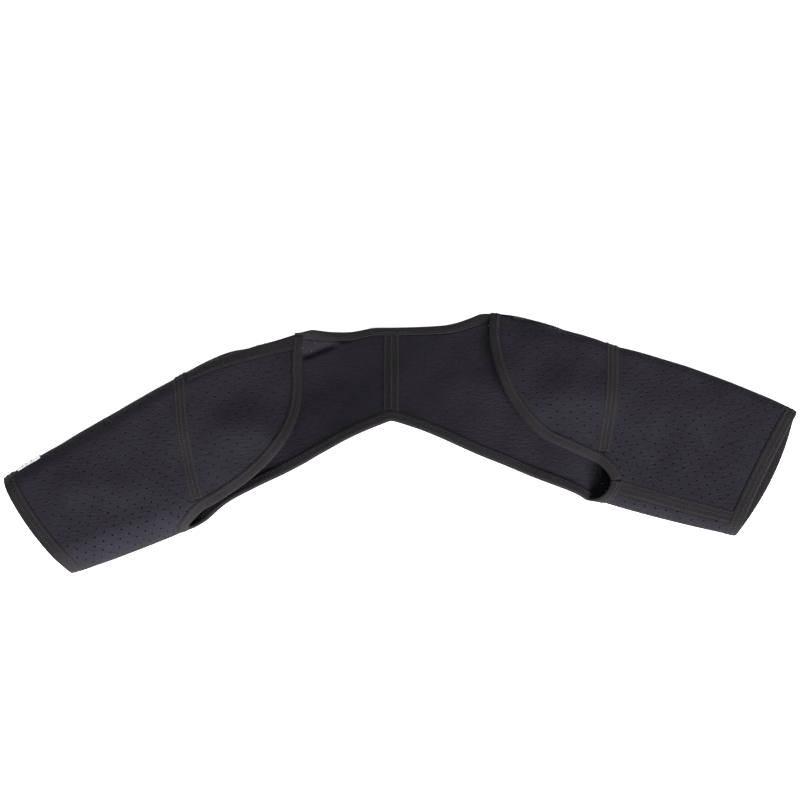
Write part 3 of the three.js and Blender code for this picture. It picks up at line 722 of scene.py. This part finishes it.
seam_lines = []
for label, side in HALVES.items():
    # armhole: from the bottom of the back over the shoulder to the bottom of the front
    q = np.concatenate([np.linspace(TIP, 0, 90)[:-1], -np.linspace(0, TIP, 90)])
    is_back = q > 0
    q = np.abs(q)
    p = np.where(is_back, mix(side["shoulder"], side["hem"] - 1, q),
                 mix(side["shoulder"], side["front"], q))
    long = sleeve_length(side, p)[:, None]
    front_wide = length(front_edge(side, q) - sleeve(side, 1.0, p))[:, None]
    slope = slopes(lambda a, b: back(side, a, b), 0 * q + 0.01, q)[0]
    back_wide = length(slope)[:, None]
    d = np.linspace(-1, 1, ACROSS) * TAPE_WIDTH / 2
    on_sleeve = sleeve(side, 1 + np.minimum(d, 0)[None] / long, p[:, None])
    on_front = front(side, np.minimum(0.45, np.maximum(d, 0)[None] / front_wide), q[:, None])
    on_back = back(side, np.maximum(d, 0)[None] / back_wide, q[:, None])
    torso = np.where(is_back[:, None, None], on_back, on_front)
    grid = np.where((d < 0)[None, :, None], on_sleeve, torso)
    seam_lines += strip("armhole_tape_" + label, grid, sleeve_out(side, 0 * p + 0.99, p)[:, None],
                        (-0.62, 0, 0.62), ["armhole_seam_tape_" + label])

    # shoulder: from the armhole tape to the neck, on both sides of the fold
    r = np.linspace(7.6 / 110, 1.025, 72)[:, None]
    deep_front, deep_back = SHOULDER_DEPTH[label]
    c = np.linspace(-1, 1, ACROSS)
    split = -1 + 2 * deep_back / (deep_front + deep_back)
    down_back = (np.clip((split - c) / (split + 1), 0, 1) * deep_back)[None]
    down_front = (np.clip((c - split) / (1 - split), 0, 1) * deep_front)[None]
    grid = np.where((c < split)[None, :, None], back(side, r * side["neck_share"], down_back),
                    front(side, r, down_front))
    guide = unit(np.array([0.0, 0.5, 1.0 if label == "left" else -0.2]))
    seam_lines += strip("shoulder_tape_" + label, grid, guide, (-0.6, 0.6),
                        ["shoulder_seam_tape_" + label])

    # under the arm: along the sleeve from its cuff binding to the notch
    rim = 2 * np.linalg.norm(sleeve(side, 0.5, 0.0) - sleeve(side, 0.5, 0.5)) + 8
    p = side["underarm"] + np.linspace(-1, 1, ACROSS)[None] * TAPE_WIDTH / 2 / rim
    t = np.linspace(0, 1, 60)[:, None]
    long = sleeve_length(side, p)
    u = mix((CUFF_WIDTH - 0.5) / long, tube_end(side, p) - SEAM_GAP / long, t)
    seam_lines += strip("underarm_tape_" + label, sleeve(side, u, p + 0 * t),
                        sleeve_out(side, u, p + 0 * t), (-0.62, 0, 0.62),
                        ["underarm_seam_tape_" + label])

# inside, down the centre of the back
q = np.linspace(0.004, 0.996, 60)
d = np.linspace(-1, 1, ACROSS) * CENTRE_WIDTH / 2
halves = []
for side in (LEFT, RIGHT):
    slope = slopes(lambda a, b: back(side, a, b), 0 * q + 0.98, q)[0]
    halves.append(back(side, 1 - np.abs(d)[None] / length(slope)[:, None], q[:, None]))
grid = np.where((d < 0)[None, :, None], halves[0], halves[1])
seam_lines += strip("centre_back_tape", grid, np.array([0.0, 0.0, 1.0]), (-0.8, 0, 0.8),
                    ["centre_back_seam_tape"])
stitched("seam_stitches", seam_lines)
stitched("seam_covering_threads", seam_lines, pitch=2.2, thick=0.4, wide=3.4)

# a short zigzag tack of blacker thread that holds the neck binding's end down
tack_thread = thread.copy()
tack_thread.name = "black_tack_thread"
for stop in tack_thread.node_tree.nodes["Color Ramp"].color_ramp.elements:
    stop.color = (0.0012, 0.0011, 0.0012, 1)
r = np.linspace(0.72, 0.795, 20)
q = 0 * r + 0.045
out = back_out(LEFT, r, q)
out = out * np.sign(out[:, 2:])
stitched("bar_tack", [(back(LEFT, r, q) + out * (WALL / 2 + 0.25), out)],
         pitch=1.6, long=1.4, thick=0.6, wide=3.4, cotton=tack_thread)

# Bindings
# The same stretch tape folded over every raw edge and sewn down: a length down each front edge
# and round the front of the underarm notch, one along the neck, one along the hem from notch to
# notch, and one round each cuff. The front ones lie over the ends of the neck's.
BAND_WIDTH = 9.5
JOINT = {"left": 0.5, "right": 0.35}  # where front and hem bands meet, as a share round the notch
NARROWING = 20  # mm over which a band's ends narrow
PAST_NECK = {"left": 0.6, "right": 2.0}  # mm that a front band runs on past the neck point
# half of the folded tape's outline, in mm: how far in from the edge, for a band 9.8 mm wide, and
# how high above the panel's middle
BAND_X = (-1.3, -1.15, -0.6, 0.4, 1.4, 2.4, 3.4, 4.4, 5.4, 6.4, 7.2)
BAND_Z = (1.25, 2.0, 2.38, 2.5, 2.56, 2.6, 2.62, 2.62, 2.6, 2.52, 2.38)


def even(points, out, gap=2.2, blur=2.0, closed=False):
    """A path taken again at even steps of gap mm, its places and outward directions averaged
    with a bell curve, blur steps wide; an open path keeps its ends."""
    if closed:
        points, out = np.vstack([points, points[:1]]), np.vstack([out, out[:1]])
    run = travel(points)
    n = int(run[-1] / gap)
    s = np.linspace(0, run[-1], n + 1)[:n if closed else n + 1]
    at, up = read(s, run, points), read(s, run, out)
    w = np.exp(-0.5 * (np.arange(-8, 9) / blur) ** 2)
    w /= w.sum()

    def blurred(v):
        """The bell-curve average of each coordinate along the path."""
        pad = np.pad(v, ((8, 8), (0, 0)), mode="wrap" if closed else "edge")
        return sum(w[k] * pad[k:k + len(v)] for k in range(17))

    if closed:
        return blurred(at), unit(blurred(up))
    from_end = np.minimum(np.arange(len(at)), np.arange(len(at))[::-1])
    return mix(at, blurred(at), np.clip(from_end / 8.0, 0, 1)[:, None]), unit(blurred(up))


def binding(name, points, out, inside, width, rows, nodes, closed=False, slim=1.0):
    """A folded tape along an edge: a closed outline of a flat top, a rounded fold at width and
    the same below, carried along the path; its axis away from the panel is the path's direction
    crossed with the outward one, on the side away from the inside point. A groove runs under
    each stitch row; the ends narrow to slim times the width. Gives the lines of its stitch rows,
    above and below in turn."""
    if closed:
        ahead = unit(np.roll(points, -1, 0) - np.roll(points, 1, 0))
    else:
        ahead = unit(np.gradient(points, axis=0))
    away = unit(np.cross(ahead, out))
    hand = np.sign(((points[0] - inside) * away[0]).sum())
    away = away * hand
    out = unit(np.cross(away, ahead)) * hand
    x, z = np.array(BAND_X), np.array(BAND_Z)
    x = np.where(x > 0, x * width / 9.8, x)
    for row in rows:
        z = z - 0.22 * np.exp(-((x - row) / 0.5) ** 2)
    heights = [float(np.interp(row, x, z)) for row in rows]
    # the fold: an ellipse, 2.6 by 2.42 mm, about a point 2.3 mm in from the width
    fold = np.linspace(0.35, np.pi / 2, 6)
    x = np.concatenate([x, width - 2.3 + 2.6 * np.sin(fold)])
    z = np.concatenate([z, 2.42 * np.cos(fold)])
    x = np.concatenate([x, x[-2::-1]])
    z = np.concatenate([z, -z[-2::-1]])
    n, k = len(points), len(x)
    run = travel(points)
    full = mix(slim, 1.0, ease(np.minimum(run, run[-1] - run) / NARROWING))
    spread = np.where(x[None] > 0, x[None] * full[:, None], x[None])
    grid = points[:, None] + away[:, None] * spread[..., None] + out[:, None] * z[None, :, None]
    uv = np.stack(np.broadcast_arrays(run[:, None], x[None]), -1).reshape(-1, 2)
    ids = np.arange(n * k).reshape(n, k)
    a, b = (ids, np.roll(ids, -1, 0)) if closed else (ids[:-1], ids[1:])
    faces = [np.stack([a, b, np.roll(b, -1, 1), np.roll(a, -1, 1)], -1).reshape(-1, 4)]
    if not closed:
        # each end is closed by quads between the outline's two halves
        left = np.arange(k // 2)
        cap = np.stack([left, left + 1, k - 2 - left, k - 1 - left], -1)
        cap = cap[cap[:, 1] < cap[:, 2]]
        faces += [ids[0][cap], ids[-1][cap[:, ::-1]]]
    p, q, r = grid[0, 3], grid[1, 3], grid[0, 4]
    if np.dot(np.cross(q - p, r - p), out[0]) < 0:
        faces = [f[:, ::-1] for f in faces]
    cloth(name, grid.reshape(-1, 3), faces, uv, tape, nodes)
    lines = []
    for row, height in zip(rows, heights):
        for up in (out, -out):
            line = points + away * row + up * (height + SEWN)
            if closed:
                line, up = np.vstack([line, line[:1]]), np.vstack([up, up[:1]])
            lines.append((line, up))
    return lines


edge_lines = []
necks, hems = [], []
for label, side in HALVES.items():
    # the front edge, and the way round the notch, split where the front and hem bands meet
    q = np.linspace(0.0, TIP, 130)
    edge = front_edge(side, q)
    edge_out = facing(lambda a, b: front(side, a, b), side["turn"])(0 * q + 0.97, q)
    p = mix(side["front"], side["hem"], (1 - np.cos(np.pi * np.linspace(0, 1, 70))) / 2)
    notch = sleeve(side, tube_end(side, p), p)
    notch_out = sleeve_out(side, tube_end(side, p) - 0.01, p)
    joint = mix(side["front"], side["hem"], JOINT[label])
    cut = int(np.argmin(np.abs(p - joint)))
    r = np.linspace(0.006, 1, 150)
    hems.append((np.vstack([notch[cut:-1], back(side, r, 0 * r + 1)]),
                 np.vstack([notch_out[cut:-1], back_out(side, r, 0 * r + 0.99)])))
    r = np.linspace(side["neck_share"] + 0.002, 1, 90)
    necks.append((back(side, r, 0 * r), back_out(side, r, 0 * r + 0.004)))
    # the front band runs a little past the neck point, over the start of the neck band
    past = edge[0] + unit(edge[0] - edge[4]) * PAST_NECK[label] + (0, 0, 0.6)
    points, out = even(np.vstack([notch[1:cut][::-1], edge[::-1], past]),
                       np.vstack([notch_out[1:cut][::-1], edge_out[::-1], edge_out[:1]]))
    edge_lines += binding("front_band_" + label, points, out, sleeve(side, 0.5, joint), BAND_WIDTH,
                          (1.7,), ["front_edge_binding_" + label])


def whole(halves):
    """The left half's path and the right half's, turned round, as one even path."""
    (left, left_out), (right, right_out) = halves
    return even(np.vstack([left, right[::-1][1:]]), np.vstack([left_out, right_out[::-1][1:]]))


edge_lines += binding("neck_band", *whole(necks), back(LEFT, np.array(0.8), np.array(0.5)),
                      BAND_WIDTH, (1.7,), ["neck_binding"], slim=0.45)
inside = sleeve(LEFT, 0.5, mix(LEFT["front"], LEFT["hem"], JOINT["left"]))
edge_lines += binding("hem_band", *whole(hems), inside, BAND_WIDTH, (1.5, 3.6), ["hem_binding"])
for label, side in HALVES.items():
    p = np.linspace(0, 1, 241)[:-1]
    u = CUFF_WIDTH / sleeve_length(side, p)
    points, out = even(sleeve(side, u, p), sleeve_out(side, u, p), closed=True)
    edge_lines += binding("cuff_band_" + label, points, out, sleeve(side, 0.5, 0.0), CUFF_WIDTH,
                          (1.7, 6.6), ["cuff_binding_" + label], closed=True)
stitched("edge_stitches", edge_lines)
stitched("edge_covering_threads", edge_lines[::2], pitch=2.2, thick=0.4, wide=3.0)

# Label
# A small white tag of woven satin, folded over the left sleeve's far fold near the cuff and
# sewn flat, with a few generic marks woven in; nothing on it can be read.
TAG_ALONG, TAG_ROUND = (0.085, 0.208), (-0.03, 0.058)  # its place as shares of the sleeve
TAG_LONG, TAG_WIDE = 26, 25.4  # mm
TAG_TOP, TAG_FOOT = 2.55, 1.6  # mm above the sleeve's middle
TAG_GRID = 24  # points a side
RED, BLUE = (0.26, 0.008, 0.008, 1), (0.07, 0.10, 0.17, 1)
MARKS = ((5.0, 6.4, RED), (9.5, 10.6, RED), (15.5, 17.2, BLUE))  # from and to, mm along the tag
MARK_ROWS = (13.0, 24.5)  # from and to, mm across it
label_cloth, tree, shader = finish("white_woven_satin", {"Roughness": 0.55, "Sheen Weight": 0.2})
fabric = node(tree, "UVMap", {"uv_map": "fabric"}).outputs[0]
parts = node(tree, "SeparateXYZ", {}, {}, {0: fabric})
shade = two_tones(tree, wave(tree, fabric, "Y", 0.6), (0.50, 0.49, 0.47), (0.62, 0.61, 0.59))


def within(value, low, high):
    """1 between low and high, else 0."""
    return maths(tree, "MULTIPLY", maths(tree, "GREATER_THAN", value, low),
                 maths(tree, "LESS_THAN", value, high))


for low, high, colour in MARKS:
    inked = maths(tree, "MULTIPLY", within(parts.outputs[0], low, high),
                  within(parts.outputs[1], *MARK_ROWS))
    blend = node(tree, "Mix", {"data_type": "RGBA"}, {7: colour}, {0: inked, 6: shade})
    shade = blend.outputs[2]
tree.links.new(shade, shader.inputs["Base Color"])

u = np.linspace(*TAG_ALONG, TAG_GRID)[:, None]
p = np.linspace(*TAG_ROUND, TAG_GRID)[None]
middle = sleeve(LEFT, u, p)
out = sleeve_out(LEFT, u + 0 * p, p + 0 * u)
# it bulges by a quarter of a millimetre between its two sewn ends
sag = 0.25 * np.sin(np.linspace(0, np.pi, TAG_GRID))[None, :, None]
points = np.stack([middle + out * (TAG_TOP + sag), middle + out * TAG_FOOT]).reshape(-1, 3)
uv = np.stack(np.broadcast_arrays((u - TAG_ALONG[0]) / (TAG_ALONG[1] - TAG_ALONG[0]) * TAG_LONG,
                                  (p - TAG_ROUND[0]) / (TAG_ROUND[1] - TAG_ROUND[0]) * TAG_WIDE), -1)
cloth("woven_label", points, [f[:, ::-1] for f in slab(TAG_GRID, TAG_GRID)],
      np.tile(uv.reshape(-1, 2), (2, 1)), label_cloth, ["label_tag"])

# Table, light and camera
# A plain white table under one wide soft light from the front right, in a pale surround. Its
# surface also glows, painted light, wherever nothing lies on it, so that no shadow shows. The camera
# looks down at 75 degrees from the front, 1.6 m away.
TABLE = 3.0  # m from its middle to its edge
GLOW = 0.85  # strength of the painted glow in the table's own surface
# the open cells, where the table glows, are those of a 4 mm grid that hold no point of a piece
cells = []
for piece in bpy.data.objects:
    if piece.type == "MESH":
        at = np.empty(len(piece.data.vertices) * 3, np.float32)
        piece.data.vertices.foreach_get("co", at)
        cells.append(at.reshape(-1, 3)[:, :2])
lines_x, lines_y = np.linspace(-0.56, 0.56, 281), np.linspace(-0.32, 0.32, 161)
held = np.pad(np.histogram2d(*np.concatenate(cells).T, bins=(lines_x, lines_y))[0] > 0, 2)
for spread in (True, False):
    # grown by a cell and shrunk again, which closes the gaps between points
    edge = held if spread else ~held
    edge = edge | np.roll(edge, 1, 0) | np.roll(edge, -1, 0)
    edge = edge | np.roll(edge, 1, 1) | np.roll(edge, -1, 1)
    held = edge if spread else ~edge
shut = (held[:-1, :-1] & held[1:, :-1] & held[:-1, 1:] & held[1:, 1:]).astype(float)
gx, gy = np.meshgrid(np.concatenate([[-TABLE], lines_x, [TABLE]]),
                     np.concatenate([[-TABLE], lines_y, [TABLE]]), indexing="ij")
mesh = bpy.data.meshes.new("table_top")
mesh.from_pydata(np.stack([gx, gy, 0 * gx], -1).reshape(-1, 3).tolist(), [],
                 slab(*gx.shape)[0].tolist())
glow_mask = mesh.attributes.new("glowing_table", "FLOAT", "POINT")
glow_mask.data.foreach_set("value", (1 - shut).ravel().astype(np.float32))
table = bpy.data.objects.new("table_top", mesh)
bpy.context.collection.objects.link(table)
paper, tree, shader = finish("white_paper_with_painted_glow", {
    "Roughness": 0.9, "Specular IOR Level": 0.1, "Emission Color": (1, 1, 1, 1)})
place = node(tree, "TexCoord").outputs["Object"]
tint = two_tones(tree, noise(tree, place, 260.0, 3.0), (0.88, 0.88, 0.88), (0.92, 0.92, 0.92))
glow_mask = node(tree, "Attribute", {"attribute_name": "glowing_table"})
tree.links.new(tint, shader.inputs["Base Color"])
# painted light: the table's surface glows wherever nothing lies on it, which hides the garment's cast
# shadow
tree.links.new(maths(tree, "MULTIPLY", glow_mask.outputs["Fac"], GLOW), shader.inputs["Emission Strength"])
mesh.materials.append(paper)

scene = bpy.context.scene
world = bpy.data.worlds.new("pale_surround")
world.use_nodes = True
world.node_tree.nodes["Background"].inputs["Color"].default_value = (1, 1, 1, 1)
world.node_tree.nodes["Background"].inputs["Strength"].default_value = 0.62
scene.world = world
scene.view_settings.view_transform = "Standard"

lamp = bpy.data.lights.new("front_soft_light", "SUN")
lamp.energy, lamp.angle = 12.5, np.radians(40.0)
lamp_object = bpy.data.objects.new("front_soft_light", lamp)
lamp_object.rotation_euler = Vector((-0.30, 0.80, -0.55)).to_track_quat("-Z", "Y").to_euler()
bpy.context.collection.objects.link(lamp_object)

aim = np.array([-0.00476, 0.04641, 0.0])  # the tables' zero, in the frame, m
lift, distance = np.radians(75.0), 1.6
eye = aim + distance * np.array([0, -np.cos(lift), np.sin(lift)])
camera = bpy.data.cameras.new("camera")
camera.lens, camera.sensor_width = 68.57, 36.0
camera.clip_start, camera.clip_end = 0.05, 20
camera_object = bpy.data.objects.new("camera", camera)
camera_object.location = eye
camera_object.rotation_euler = Vector(aim - eye).to_track_quat("-Z", "Y").to_euler()
bpy.context.collection.objects.link(camera_object)
scene.camera = camera_object
